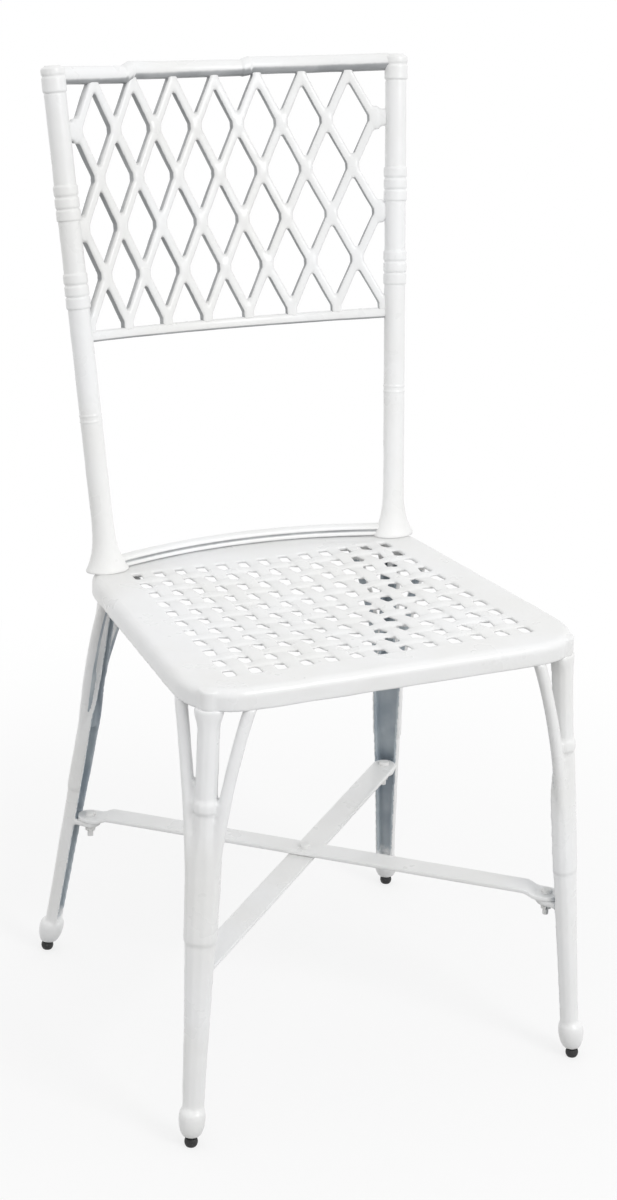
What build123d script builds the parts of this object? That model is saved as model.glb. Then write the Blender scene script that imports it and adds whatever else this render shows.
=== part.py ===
from build123d import *

import os
from math import asin, atan2, cos, degrees, hypot, sin, sqrt

# White cast-aluminium garden chair in the faux-bamboo style, as separate castings and fasteners.
# Millimetres. +Z is up, the front faces -Y, and +X is to the right of someone looking at the front.
# The origin is on the floor, under the middle of the chair's box.

os.makedirs("parts", exist_ok=True)

# Seat casting
seat_height = 454.0  # floor to the rim
seat_front_width = 420.0
seat_rear_width = 366.0
seat_side_depth = 340.0  # front edge to the line through the rear corners
seat_rear_bow = 36.0  # how far the rear edge bows out behind that line
seat_front_corner = 50.0  # corner radii seen from above
seat_rear_corner = 22.0
seat_apron = 22.0
seat_plate = 4.0
seat_wall = 6.0
seat_edge_round = 8.0
dish_depth = 7.0
dish_border = 42.0  # seat's side edge to the edge of the dish
hole_width = 10.0
hole_length = 15.0  # from front to rear
hole_round = 4.5
hole_columns = 13
hole_rows = 11
hole_side_margin = 47.5  # outermost column to the side edge, at the middle of the seat
hole_front_margin = 44.0  # first row to the front edge
hole_rear_margin = 67.0  # last row to the rear edge
hole_border = 36.0  # least distance from a hole's centre to the edge of the seat

# Legs: half-round channel castings, open towards the middle of the chair
front_leg_inset_side = 23.0  # from the seat's front corner to the top of the leg
front_leg_inset_front = 19.0
front_foot_out = 24.0  # splay from the top of the leg to the foot
front_foot_forward = 36.0
rear_foot_out = 45.0
rear_foot_back = 58.0
leg_flare = 1.1  # above 1 the splay gathers towards the floor
leg_foot_width = 20.5
leg_shoulder_width = 36.0
leg_taper = 1.3
leg_foot_depth = 15.0
leg_depth = 18.0  # at the shoulder and above
leg_wall = 4.0
leg_shoulder_drop = 120.0  # seat's underside to the shoulder
stalk_top_flare = 7.0
stalk_flange = 8.0
lower_node_height = 205.0
upper_node_drop = 92.0  # seat's underside to the node on the stalk
leg_node_length = 11.0
leg_node_swell = 1.6
arm_diameter = 12.0
arm_drop = 32.0  # how far below the shoulder an arm springs from the leg
arm_upright = 0.5  # 0 aims an arm straight at its tip, 1 starts it upright
arm_spread = 35.0  # from the top of the leg to the arm's tip, along the apron
arm_edge_inset = 6.0  # from the seat's edge to the middle of the arm's tip
foot_radius = 13.5
foot_top_radius = 11.0
foot_bottom_radius = 8.0
foot_height = 44.0
foot_ring_height = 4.0
foot_trim = 4.0  # extra length below the foot, cut off level

# Back
post_inset_side = 20.0  # from the seat's rear corner to the middle of the post's foot
post_inset_rear = 6.0
post_spread = 25.0  # how far each post's top stands outside its foot
back_rise = 492.0  # seat rim to the top of the posts
back_lean = 93.0  # how far the tops stand behind the feet
back_radius = 410.0  # the rails and the lattice are bowed to this radius
post_diameter = 20.0
post_foot_length = 48.0  # size on the seat, along and across the base rail
post_foot_width = 28.0
post_foot_height = 50.0
post_cap_diameter = 24.0
post_cap_height = 27.0
binding_diameter = 24.4  # each binding is three turns on the post
binding_turn = 12.0
binding_turns = 3
binding_shares = (0.113, 0.449)  # where a binding starts, as a share of the way between the rails
post_node_share = 0.66  # of the lower rail's height
post_node_length = 12.0
post_node_diameter = 23.0
ring_bevel = 2.0
top_rail_diameter = 17.0
top_rail_drop = 8.5  # top of the posts to the middle of the rail
top_rail_nodes = (-98.0, 26.0)
top_rail_node_length = 7.0
top_rail_node_swell = 1.2
lower_rail_share = 0.4714  # of the post's length
lower_rail_tall = 11.0
lower_rail_deep = 10.0
lower_rail_bevel = 2.5
base_rail_tall = 12.0
base_rail_deep = 14.0
base_rail_round = 4.0
base_rail_inset = 13.0  # seat's rear edge to the middle of the rail

# Lattice panel
lattice_columns = 7
lattice_half_rows = 5
lattice_side_bay = 0.22  # of a column, left over beside each post at the lower rail
lattice_first_row = 10.0  # middle of the lower rail to the lowest crossings
lattice_last_row = 7.0  # middle of the top rail to the highest crossings
lattice_strip = 8.5
lattice_thickness = 8.0
lattice_opening_round = 4.0
lattice_pad_width = 13.0
lattice_pad_height = 22.0
lattice_pad_round = 5.0

# Stretchers: two crossed flat bars on lugs inside the legs
lug_height = 170.0  # floor to the face that carries the bar
lug_thickness = 6.0
lug_radius = 11.0
bar_end_gap = 2.0  # open side of the leg to the end of the bar
bar_width = 26.0
bar_thickness = 5.0
bar_end_flat = 9.0  # past the bolt, before the upper bar steps up over the lower one
bar_ramp = 14.0

# Fasteners
bolt_diameter = 6.0
bolt_head_diameter = 11.0
bolt_head_height = 3.4
bolt_end = 7.0  # thread that shows under the nut
bolt_hole_play = 0.3
thread_play = 0.05
washer_diameter = 13.0
washer_thickness = 1.2
nut_across_flats = 10.0
nut_height = 5.0
cap_screw_head = 10.0
cap_screw_head_height = 6.0
cap_screw_washer = 11.4
cap_screw_washer_play = 0.3  # all round, inside the leg's channel
seat_boss_diameter = 22.0
front_screw_depth = 14.0  # into the seat's boss
rear_screw_depth = 20.0  # through the seat and into the post
rail_screw_diameter = 5.0
rail_screw_head = 9.0
rail_screw_head_height = 3.5
rail_screw_depth = 8.0  # into the base rail
rail_screw_offset = 80.0  # from the middle of the chair
drill_tip = 1.5  # how much deeper a blind hole goes than its screw

# Levelling glides
glide_stud_diameter = 6.0
glide_stud_engagement = 20.0
glide_bore_end = 5.0  # left free above the stud
glide_stud_play = 0.05
glide_pad_radius = 6.5
glide_pad_base_radius = 5.0
glide_pad_top_radius = 5.2
glide_pad_height = 8.5
glide_gap = 2.5  # pad to the underside of the foot
glide_socket_depth = 4.5

weld_gap = 0.25  # between pieces of the back that meet on curved faces

# Values that follow from the sizes above
seat_depth = seat_side_depth + seat_rear_bow
leg_top = seat_height - seat_apron
leg_shoulder_height = leg_top - leg_shoulder_drop
stalk_width = cap_screw_washer + 2 * cap_screw_washer_play + 2 * leg_wall
cap_screw_inset = cap_screw_washer / 2 + 2 * cap_screw_washer_play + leg_wall - leg_depth / 2
lug_reach = bar_end_gap + bar_width / 2
foot_clearance = glide_pad_height + glide_gap
post_depth = seat_side_depth - post_inset_rear
post_base_spacing = seat_rear_width - 2 * post_inset_side
base_rail_bow = seat_depth - base_rail_inset - post_depth
lean = atan2(back_lean, back_rise)
post_length = hypot(back_lean, back_rise)
top_rail_height = post_length - top_rail_drop
lower_rail_height = post_length * lower_rail_share
up = Vector(0, sin(lean), cos(lean))
aft = Vector(0, cos(lean), -sin(lean))
right = Vector(1, 0, 0)


def leg_splay(height):
    """1 where a leg's centre line meets the floor, 0 at its top."""
    return (1 - height / leg_top) ** leg_flare


def post_half(height):
    """Half the distance between the posts at a height along them."""
    return post_base_spacing / 2 + post_spread * height / post_length


def bow(half_chord):
    """How far an arc of the back's radius bows behind its ends."""
    return back_radius - sqrt(back_radius**2 - half_chord**2)


# The rails and the lattice lie on one cylinder, tilted so that it meets both posts at both rails
panel_rise = top_rail_height - lower_rail_height
panel_tilt = asin((bow(post_half(top_rail_height)) - bow(post_half(lower_rail_height))) / panel_rise)
panel_up = up * cos(panel_tilt) + aft * sin(panel_tilt)
panel_aft = aft * cos(panel_tilt) - up * sin(panel_tilt)

# The chair's box runs from the front feet to the middle of the top rail.
foot_middle = (foot_clearance + foot_height - foot_ring_height) / 2
front_reach = front_leg_inset_front - front_foot_forward * leg_splay(foot_middle) - foot_radius
rear_reach = (
    post_depth
    + top_rail_height * sin(lean)
    + bow(post_half(top_rail_height)) * panel_aft.Y
    + top_rail_diameter / 2
)
seat_front = -(front_reach + rear_reach) / 2
back_foot = Vector(0, seat_front + post_depth, seat_height)


def seat_half(depth):
    """Half the seat's width at a depth behind its front edge."""
    return (seat_front_width + (seat_rear_width - seat_front_width) * depth / seat_side_depth) / 2


def rear_edge(across):
    """Depth of the seat's bowed rear edge at a distance from the middle."""
    radius = ((seat_rear_width / 2) ** 2 + seat_rear_bow**2) / (2 * seat_rear_bow)
    return seat_side_depth + seat_rear_bow - radius + sqrt(radius**2 - across**2)


def back_point(across, height):
    """A point between the leaning posts, from its distance across and its height along them."""
    return back_foot + right * across + up * height


def save(piece, name):
    piece.part.label = name
    export_step(piece.part, f"parts/{name}.step")


# Legs: where each stands, and where its arms meet the apron
front_top = Vector(seat_front_width / 2 - front_leg_inset_side, seat_front + front_leg_inset_front, 0)
rear_top = Vector(post_base_spacing / 2, seat_front + post_depth, 0)
front_foot = front_top + Vector(front_foot_out, -front_foot_forward, 0)
rear_foot = rear_top + Vector(rear_foot_out, rear_foot_back, 0)


def side_tip(depth):
    return Vector(seat_half(depth) - arm_edge_inset, seat_front + depth, leg_top)


front_tips = (
    Vector(front_top.X - arm_spread, seat_front + arm_edge_inset, leg_top),
    side_tip(front_leg_inset_front + arm_spread),
)
rear_tips = (
    side_tip(post_depth - arm_spread),
    Vector(
        rear_top.X - arm_spread,
        seat_front + rear_edge(rear_top.X - arm_spread) - arm_edge_inset,
        leg_top,
    ),
)


def mirrored(point, side):
    return Vector(point.X * side, point.Y, point.Z)


def leg_share(height):
    """0 at the top of the foot, 1 at the shoulder and above."""
    share = (height - foot_height) / (leg_shoulder_height - foot_height)
    return min(max(share, 0), 1)


def leg_width(height):
    return leg_foot_width + (leg_shoulder_width - leg_foot_width) * leg_share(height) ** leg_taper


def leg_reach(height):
    """Half the leg's depth."""
    return (leg_foot_depth + (leg_depth - leg_foot_depth) * leg_share(height)) / 2


class LegLine:
    """One leg's centre line, from its top under the seat to its foot."""

    def __init__(self, name, side, top, foot, tips):
        self.name = name
        self.top = mirrored(top, side)
        self.foot = mirrored(foot, side)
        self.tips = [mirrored(tip, side) for tip in tips]
        self.outward = (self.foot - self.top).normalized()

    def plane(self, height):
        """Level plane at a height, on the leg's centre line, with X pointing out of the chair."""
        centre = self.top + (self.foot - self.top) * leg_splay(height)
        return Plane(origin=(centre.X, centre.Y, height), x_dir=self.outward, z_dir=(0, 0, 1))

    def lug_centre(self):
        return self.plane(lug_height).from_local_coords(Vector(-leg_reach(lug_height) - lug_reach, 0, 0))

    def screw_centre(self):
        return self.plane(leg_top).from_local_coords(Vector(-cap_screw_inset, 0, 0))


legs = [
    LegLine("front_left", -1, front_top, front_foot, front_tips),
    LegLine("front_right", 1, front_top, front_foot, front_tips),
    LegLine("rear_left", -1, rear_top, rear_foot, rear_tips),
    LegLine("rear_right", 1, rear_top, rear_foot, rear_tips),
]
front_legs = legs[:2]
rear_legs = legs[2:]


def half_round(plane, width, inner, outer):
    """Section with a flat side at -inner, straight flanks and a round side out to +outer."""
    with BuildSketch(plane) as section:
        with BuildLine():
            Polyline(
                (0, width / 2),
                (-inner, width / 2),
                (-inner, -width / 2),
                (0, -width / 2),
            )
            ThreePointArc((0, -width / 2), (outer, 0), (0, width / 2))
        make_face()
    return section.sketch


def make_leg(line):
    cavity_floor = foot_height + leg_wall
    stalk_start = leg_shoulder_height - leg_node_length
    arm_start = leg_shoulder_height - arm_drop
    middle = (foot_height + leg_shoulder_height) / 2

    def channel(height, width):
        return half_round(line.plane(height), width, leg_reach(height), leg_reach(height))

    def hollow(height, width):
        inner = leg_reach(height) + leg_wall
        outer = leg_reach(height) - leg_wall
        return half_round(line.plane(height), width - 2 * leg_wall, inner, outer)

    with BuildPart() as leg:
        heights = (foot_height - foot_ring_height, middle, leg_shoulder_height)
        loft(sections=[channel(z, leg_width(z)) for z in heights])
        loft(
            sections=[
                channel(stalk_start, stalk_width),
                channel(leg_top - stalk_width, stalk_width),
                channel(leg_top, stalk_width + stalk_top_flare),
            ]
        )
        nodes = (
            (lower_node_height, leg_width(lower_node_height)),
            (leg_top - upper_node_drop, stalk_width),
        )
        for node, width in nodes:
            ring = half_round(
                line.plane(node - leg_node_length / 2),
                width + 2 * leg_node_swell,
                leg_reach(node),
                leg_reach(node) + leg_node_swell,
            )
            extrude(ring, amount=leg_node_length)
        for tip in line.tips:
            flank = 1 if line.plane(arm_start).to_local_coords(tip).Y > 0 else -1
            spring = Vector(0, flank * (leg_width(arm_start) - arm_diameter) / 2, 0)
            start = line.plane(arm_start).from_local_coords(spring)
            aim = (tip - start).normalized()
            aim += (Vector(0, 0, 1) - aim) * arm_upright
            with BuildLine() as arm:
                TangentArc(start, tip, tangent=aim)
                Line(arm.edges()[0] @ 1, arm.edges()[0] @ 1 + (arm.edges()[0] % 1) * arm_diameter)
            with BuildSketch(Plane(origin=start, z_dir=aim)) as arm_section:
                Circle(arm_diameter / 2)
            sweep(sections=arm_section.sketch, path=arm.wire())
        split(bisect_by=Plane.XY.offset(leg_top), keep=Keep.BOTTOM)

        # Hollow of the channel, open on the inner side
        heights = (cavity_floor, middle, leg_shoulder_height - leg_wall)
        loft(sections=[hollow(z, leg_width(z)) for z in heights], mode=Mode.SUBTRACT)
        heights = (stalk_start - leg_node_length, leg_top - stalk_flange)
        loft(sections=[hollow(z, stalk_width) for z in heights], mode=Mode.SUBTRACT)

        # Foot, turned about the leg's own line and cut level, with an upright bore for the glide's stud
        foot_base = line.plane(foot_clearance).origin
        foot_axis = (line.plane(foot_height).origin - foot_base).normalized()
        foot_out = (line.outward - foot_axis * line.outward.dot(foot_axis)).normalized()
        foot_plane = Plane(origin=foot_base, x_dir=foot_out, z_dir=foot_out.cross(foot_axis))
        foot_length = foot_height - foot_clearance
        collar = foot_length - foot_ring_height
        with BuildSketch(foot_plane) as foot_profile:
            with BuildLine():
                Polyline(
                    (foot_top_radius, collar),
                    (foot_top_radius + leg_node_swell, collar),
                    (foot_top_radius + leg_node_swell, foot_length),
                    (0, foot_length),
                    (0, -foot_trim),
                    (foot_bottom_radius, -foot_trim),
                    (foot_bottom_radius, 0),
                )
                ThreePointArc((foot_bottom_radius, 0), (foot_radius, collar / 2), (foot_top_radius, collar))
            make_face()
        revolve(profiles=foot_profile.sketch, axis=Axis(foot_base, foot_axis))
        split(bisect_by=Plane.XY.offset(foot_clearance), keep=Keep.TOP)
        with BuildSketch(Plane(origin=(line.foot.X, line.foot.Y, foot_clearance))) as bore:
            Circle(glide_stud_diameter / 2 + glide_stud_play)
        extrude(bore.sketch, amount=glide_stud_engagement + glide_bore_end, mode=Mode.SUBTRACT)

        # Lug for the stretcher
        hole_at = -leg_reach(lug_height) - lug_reach
        cavity = leg_reach(lug_height) - leg_wall
        with BuildSketch(line.plane(lug_height)) as lug:
            with Locations(((hole_at + cavity) / 2, 0)):
                Rectangle(cavity - hole_at, 2 * lug_radius)
            with Locations((hole_at, 0)):
                Circle(lug_radius)
                Circle(bolt_diameter / 2 + bolt_hole_play, mode=Mode.SUBTRACT)
        extrude(lug.sketch, amount=-lug_thickness)

        # Hole for the screw that holds the leg to the seat
        with BuildSketch(Plane(origin=line.screw_centre())) as screw_hole:
            Circle(bolt_diameter / 2 + bolt_hole_play)
        extrude(screw_hole.sketch, amount=-stalk_flange, mode=Mode.SUBTRACT)
    save(leg, f"leg_{line.name}")


for leg_line in legs:
    make_leg(leg_line)


# Seat casting: a shallow tray with a dished, perforated plate
seat_half_rear = seat_rear_width / 2
seat_rear = seat_front + seat_side_depth

with BuildSketch() as seat_outline:
    with BuildLine():
        Polyline(
            (-seat_half_rear, seat_rear),
            (-seat_front_width / 2, seat_front),
            (seat_front_width / 2, seat_front),
            (seat_half_rear, seat_rear),
        )
        ThreePointArc(
            (seat_half_rear, seat_rear),
            (0, seat_rear + seat_rear_bow),
            (-seat_half_rear, seat_rear),
        )
    make_face()
    fillet(seat_outline.vertices().group_by(Axis.Y)[0], seat_front_corner)
    fillet(seat_outline.vertices().group_by(Axis.Y)[-1], seat_rear_corner)

dish_radius = seat_half(seat_depth / 2) - dish_border
dish_sphere = (dish_radius**2 + dish_depth**2) / (2 * dish_depth)
dish_centre = (0, seat_front + seat_depth / 2, seat_height - dish_depth + dish_sphere)

hole_pitch_across = 2 * (seat_half(seat_depth / 2) - hole_side_margin) / (hole_columns - 1)
hole_pitch_along = (seat_depth - hole_front_margin - hole_rear_margin) / (hole_rows - 1)
hole_places = []
for row in range(hole_rows):
    row_depth = hole_front_margin + row * hole_pitch_along
    fan = seat_half(row_depth) / seat_half(seat_depth / 2)
    for column in range(hole_columns):
        hole_across = (column - (hole_columns - 1) / 2) * hole_pitch_across * fan
        behind = rear_edge(hole_across) - row_depth
        beside = seat_half(row_depth) - abs(hole_across)
        if min(behind, beside) > hole_border:
            hole_places.append((hole_across, seat_front + row_depth))

rail_screw_places = []
base_rail_radius = ((post_base_spacing / 2) ** 2 + base_rail_bow**2) / (2 * base_rail_bow)
for side in (-1, 1):
    sag = base_rail_radius - sqrt(base_rail_radius**2 - rail_screw_offset**2)
    rail_screw_places.append((side * rail_screw_offset, back_foot.Y + base_rail_bow - sag))

with BuildPart() as seat_hollow:
    with BuildSketch(Plane.XY.offset(leg_top)):
        add(seat_outline.sketch)
        offset(amount=-seat_wall)
    extrude(amount=seat_apron - seat_plate)
    with Locations(dish_centre):
        Sphere(dish_sphere + seat_plate, mode=Mode.SUBTRACT)
    with Locations(*[line.screw_centre() for line in legs]):
        Cylinder(
            seat_boss_diameter / 2,
            seat_apron,
            align=(Align.CENTER, Align.CENTER, Align.MIN),
            mode=Mode.SUBTRACT,
        )

with BuildPart() as seat_casting:
    with BuildSketch(Plane.XY.offset(leg_top)):
        add(seat_outline.sketch)
    extrude(amount=seat_apron)
    fillet(seat_casting.faces().sort_by(Axis.Z)[-1].edges(), seat_edge_round)
    add(seat_hollow.part, mode=Mode.SUBTRACT)
    with Locations(dish_centre):
        Sphere(dish_sphere, mode=Mode.SUBTRACT)
    with BuildSketch(Plane.XY.offset(seat_height)):
        with Locations(*hole_places):
            RectangleRounded(hole_width, hole_length, hole_round)
    extrude(amount=-seat_apron, mode=Mode.SUBTRACT)
    for line in front_legs:
        with Locations(line.screw_centre()):
            Cylinder(
                bolt_diameter / 2 + thread_play,
                front_screw_depth + drill_tip,
                align=(Align.CENTER, Align.CENTER, Align.MIN),
                mode=Mode.SUBTRACT,
            )
    for line in rear_legs:
        with Locations(line.screw_centre()):
            Cylinder(
                bolt_diameter / 2 + bolt_hole_play,
                seat_apron,
                align=(Align.CENTER, Align.CENTER, Align.MIN),
                mode=Mode.SUBTRACT,
            )
    with Locations(*[(x, y, seat_height - seat_plate / 2) for x, y in rail_screw_places]):
        Cylinder(rail_screw_diameter / 2 + bolt_hole_play, seat_plate, mode=Mode.SUBTRACT)
save(seat_casting, "seat_casting")


# Back posts: turned bamboo poles with bindings, a node, a cap and a flared foot
def post_axis(side):
    foot = back_point(side * post_half(0), 0)
    top = back_point(side * post_half(post_length), post_length)
    return foot, (top - foot).normalized(), (top - foot).length


def post_rings(length):
    """Rings along a post, from the foot up: start, end and radius."""
    node = lower_rail_height * post_node_share
    rings = [(node - post_node_length / 2, node + post_node_length / 2, post_node_diameter / 2)]
    for share in binding_shares:
        for turn in range(binding_turns):
            low = lower_rail_height + panel_rise * share + turn * binding_turn
            rings.append((low, low + binding_turn, binding_diameter / 2))
    rings.append((length - post_cap_height, length, post_cap_diameter / 2))
    return rings


def make_post_pole(side, grow):
    """The turned pole above the flare of its foot, grown all round by a clearance."""
    foot, along, length = post_axis(side)
    radius = post_diameter / 2 + grow
    outline = [(0, post_foot_height), (radius, post_foot_height)]
    for low, high, ring in post_rings(length):
        outline.append((radius, low))
        outline.append((ring + grow, low + ring_bevel))
        outline.append((ring + grow, high - ring_bevel))
        if high < length:
            outline.append((radius, high))
    cap = post_cap_diameter / 2 - ring_bevel
    outline += [(cap + grow, length + grow), (0, length + grow), (0, post_foot_height)]
    points = [p for i, p in enumerate(outline) if i == 0 or p != outline[i - 1]]
    with BuildPart() as pole:
        with BuildSketch(Plane(origin=foot, x_dir=aft, z_dir=aft.cross(along))) as profile:
            with BuildLine():
                Polyline(*points)
            make_face()
        revolve(profiles=profile.sketch, axis=Axis(foot, along))
    return pole.part


def make_post(name, side, line):
    foot, along, length = post_axis(side)
    with BuildPart() as post:
        add(make_post_pole(side, 0))
        with BuildSketch(Plane(origin=foot, x_dir=(1, 0, 0), z_dir=(0, 0, 1))) as pad:
            Ellipse(post_foot_length / 2, post_foot_width / 2)
        neck_plane = Plane(
            origin=foot + along * post_foot_height,
            x_dir=right - along * along.X,
            z_dir=along,
        )
        with BuildSketch(neck_plane) as neck:
            Circle(post_diameter / 2)
        loft(sections=[pad.sketch, neck.sketch])
        with Locations(Vector(line.screw_centre().X, line.screw_centre().Y, seat_height)):
            Cylinder(
                bolt_diameter / 2 + thread_play,
                rear_screw_depth + drill_tip,
                align=(Align.CENTER, Align.CENTER, Align.MIN),
                mode=Mode.SUBTRACT,
            )
    save(post, name)


make_post("back_post_left", -1, rear_legs[0])
make_post("back_post_right", 1, rear_legs[1])
post_room = [make_post_pole(side, weld_gap) for side in (-1, 1)]


# Rails of the back: each is a section turned about the axis of its bow
class RailArc:
    """The middle line of a bowed rail, from its middle point out to both posts."""

    def __init__(self, middle, radius, upward, behind, half):
        self.centre = middle - behind * radius
        self.radius = radius
        self.upward = upward
        self.behind = behind
        self.half = half
        self.axis = Axis(self.centre, upward)
        self.turn = 2 * degrees(asin(half / radius))

    def plane(self, across):
        """Section plane at a distance across, with X up and Z along the rail to the left."""
        angle = asin(across / self.radius)
        return Plane(
            origin=self.centre + right * across + self.behind * (self.radius * cos(angle)),
            x_dir=self.upward,
            z_dir=self.behind * sin(angle) - right * cos(angle),
        )


def rail_middle(height):
    return back_point(0, height) + panel_aft * bow(post_half(height))


def back_arc(height):
    return RailArc(rail_middle(height), back_radius, panel_up, panel_aft, post_half(height))


top_arc = back_arc(top_rail_height)
with BuildPart() as back_top_rail:
    with BuildSketch(top_arc.plane(top_arc.half)) as top_section:
        Circle(top_rail_diameter / 2)
    revolve(profiles=top_section.sketch, axis=top_arc.axis, revolution_arc=top_arc.turn)
    for across in top_rail_nodes:
        with BuildSketch(top_arc.plane(across)) as node_section:
            Circle(top_rail_diameter / 2 + top_rail_node_swell)
        extrude(node_section.sketch, amount=top_rail_node_length / 2, both=True)
    for room in post_room:
        add(room, mode=Mode.SUBTRACT)
save(back_top_rail, "back_top_rail")

lower_arc = back_arc(lower_rail_height)
with BuildPart() as back_lower_rail:
    with BuildSketch(lower_arc.plane(lower_arc.half)) as lower_section:
        Rectangle(lower_rail_tall, lower_rail_deep)
        chamfer(lower_section.vertices(), lower_rail_bevel)
    revolve(profiles=lower_section.sketch, axis=lower_arc.axis, revolution_arc=lower_arc.turn)
    for room in post_room:
        add(room, mode=Mode.SUBTRACT)
save(back_lower_rail, "back_lower_rail")

base_arc = RailArc(
    back_foot + Vector(0, base_rail_bow, 0),
    base_rail_radius,
    Vector(0, 0, 1),
    Vector(0, 1, 0),
    post_half(0),
)
with BuildPart() as back_base_rail:
    with BuildSketch(base_arc.plane(base_arc.half)) as base_section:
        with Locations((base_rail_tall / 2, 0)):
            Rectangle(base_rail_tall, base_rail_deep)
        fillet(base_section.vertices().group_by(Axis.X)[-1], base_rail_round)
    revolve(profiles=base_section.sketch, axis=base_arc.axis, revolution_arc=base_arc.turn)
    with BuildSketch(Plane.XY.offset(seat_height)) as foot_room:
        with Locations(*[(side * post_half(0), back_foot.Y) for side in (-1, 1)]):
            Ellipse(post_foot_length / 2 + weld_gap, post_foot_width / 2 + weld_gap)
    extrude(foot_room.sketch, amount=base_rail_tall, mode=Mode.SUBTRACT)
    with Locations(*[(x, y, seat_height) for x, y in rail_screw_places]):
        Cylinder(
            rail_screw_diameter / 2 + thread_play,
            rail_screw_depth + drill_tip,
            align=(Align.CENTER, Align.CENTER, Align.MIN),
            mode=Mode.SUBTRACT,
        )
save(back_base_rail, "back_base_rail")


# Lattice panel: diamonds cut through a bowed sheet between the two rails
lattice_top = panel_rise * cos(panel_tilt)
sheet_foot = rail_middle(lower_rail_height)
sheet_front = Plane(origin=sheet_foot, x_dir=right, z_dir=-panel_aft)
sheet_below = Plane(origin=sheet_foot, x_dir=right, z_dir=panel_up)
sheet_low = lower_rail_tall / 2 + weld_gap
sheet_high = lattice_top - top_rail_diameter / 2 - top_rail_node_swell - weld_gap
lattice_pitch = 2 * post_half(lower_rail_height) / (lattice_columns + 2 * lattice_side_bay)
lattice_row_pitch = (lattice_top - lattice_first_row - lattice_last_row) / lattice_half_rows
strip_length = hypot(lattice_pitch / 2, lattice_row_pitch)
opening_half_width = lattice_pitch / 2 - lattice_strip / 2 * strip_length / lattice_row_pitch
opening_half_height = lattice_row_pitch - lattice_strip / 2 * strip_length / (lattice_pitch / 2)

lattice_nodes = []
lattice_openings = []
for row in range(lattice_half_rows + 1):
    row_height = lattice_first_row + row * lattice_row_pitch
    for step in range(-lattice_columns, lattice_columns + 1):
        place = (step * lattice_pitch / 2, row_height)
        if (step + row) % 2 == 1:
            lattice_nodes.append(place)
        else:
            lattice_openings.append(place)

with BuildSketch() as opening:
    Polygon(
        (opening_half_width, 0),
        (0, opening_half_height),
        (-opening_half_width, 0),
        (0, -opening_half_height),
    )
    fillet(opening.vertices(), lattice_opening_round)

with BuildPart() as back_lattice:
    with BuildSketch(sheet_below.offset(sheet_low)) as sheet:
        with Locations((0, -back_radius)):
            Circle(back_radius + lattice_thickness / 2)
            Circle(back_radius - lattice_thickness / 2, mode=Mode.SUBTRACT)
        Rectangle(post_half(top_rail_height) * 2, back_radius, mode=Mode.INTERSECT)
    extrude(sheet.sketch, amount=sheet_high - sheet_low)
    with BuildSketch(sheet_front) as grille:
        with BuildLine():
            Polyline(
                (-post_half(lower_rail_height), 0),
                (post_half(lower_rail_height), 0),
                (post_half(top_rail_height), lattice_top),
                (-post_half(top_rail_height), lattice_top),
                close=True,
            )
        make_face()
        with Locations(*lattice_openings):
            add(opening.sketch, mode=Mode.SUBTRACT)
        with Locations(*lattice_nodes):
            RectangleRounded(lattice_pad_width, lattice_pad_height, lattice_pad_round)
    extrude(grille.sketch, amount=back_radius / 2, both=True, mode=Mode.INTERSECT)
    for room in post_room:
        add(room, mode=Mode.SUBTRACT)
save(back_lattice, "back_lattice")


# Stretchers: the upper bar steps up over the lower one where they cross
lug_centres = {line.name: line.lug_centre() for line in legs}
front_lug = lug_centres["front_right"]
rear_lug = lug_centres["rear_right"]
cross_share = front_lug.X / (front_lug.X + rear_lug.X)
cross_centre = Vector(0, front_lug.Y + (rear_lug.Y - front_lug.Y) * cross_share, lug_height)


def bar_plane(start, end):
    return Plane(origin=(start + end) / 2, x_dir=end - start, z_dir=(0, 0, 1))


def bar_outline(start, end):
    with BuildSketch(bar_plane(start, end)) as outline:
        SlotCenterToCenter((end - start).length, bar_width)
        holes = [outline.workplanes[0].to_local_coords(p) for p in (start, end, cross_centre)]
        with Locations(*[(p.X, p.Y) for p in holes]):
            Circle(bolt_diameter / 2 + bolt_hole_play, mode=Mode.SUBTRACT)
    return outline.sketch


with BuildPart() as stretcher_lower:
    extrude(bar_outline(lug_centres["front_left"], lug_centres["rear_right"]), amount=bar_thickness)
save(stretcher_lower, "stretcher_lower")

with BuildPart() as stretcher_upper:
    upper_start = lug_centres["rear_left"]
    upper_end = lug_centres["front_right"]
    upper_half = (upper_end - upper_start).length / 2
    flat = upper_half - bar_end_flat
    raised = flat - bar_ramp
    tip = upper_half + bar_width
    side_plane = Plane(
        origin=(upper_start + upper_end) / 2,
        x_dir=upper_end - upper_start,
        z_dir=(upper_end - upper_start).cross(Vector(0, 0, 1)),
    )
    lower_line = [(-tip, 0), (-flat, 0), (-raised, bar_thickness)]
    lower_line += [(-x, z) for x, z in reversed(lower_line)]
    upper_line = [(x, z + bar_thickness) for x, z in reversed(lower_line)]
    with BuildSketch(side_plane) as bar_side:
        with BuildLine():
            Polyline(*lower_line, *upper_line, close=True)
        make_face()
    extrude(bar_side.sketch, amount=bar_width, both=True)
    extrude(bar_outline(upper_start, upper_end), amount=2 * bar_thickness, mode=Mode.INTERSECT)
save(stretcher_upper, "stretcher_upper")


# Fasteners: groups of like pieces share one file
def upright_places(points, height):
    return [Vector(point.X, point.Y, height) for point in points]


def make_bolts(name, places, length):
    """Button-head bolts that hang down from their heads' undersides."""
    with BuildPart() as bolts:
        with Locations(*places):
            Cylinder(
                bolt_head_diameter / 2,
                bolt_head_height,
                align=(Align.CENTER, Align.CENTER, Align.MIN),
            )
            Cylinder(bolt_diameter / 2, length, align=(Align.CENTER, Align.CENTER, Align.MAX))
        fillet(bolts.edges().group_by(Axis.Z)[-1], bolt_head_height / 2)
    save(bolts, name)


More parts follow.
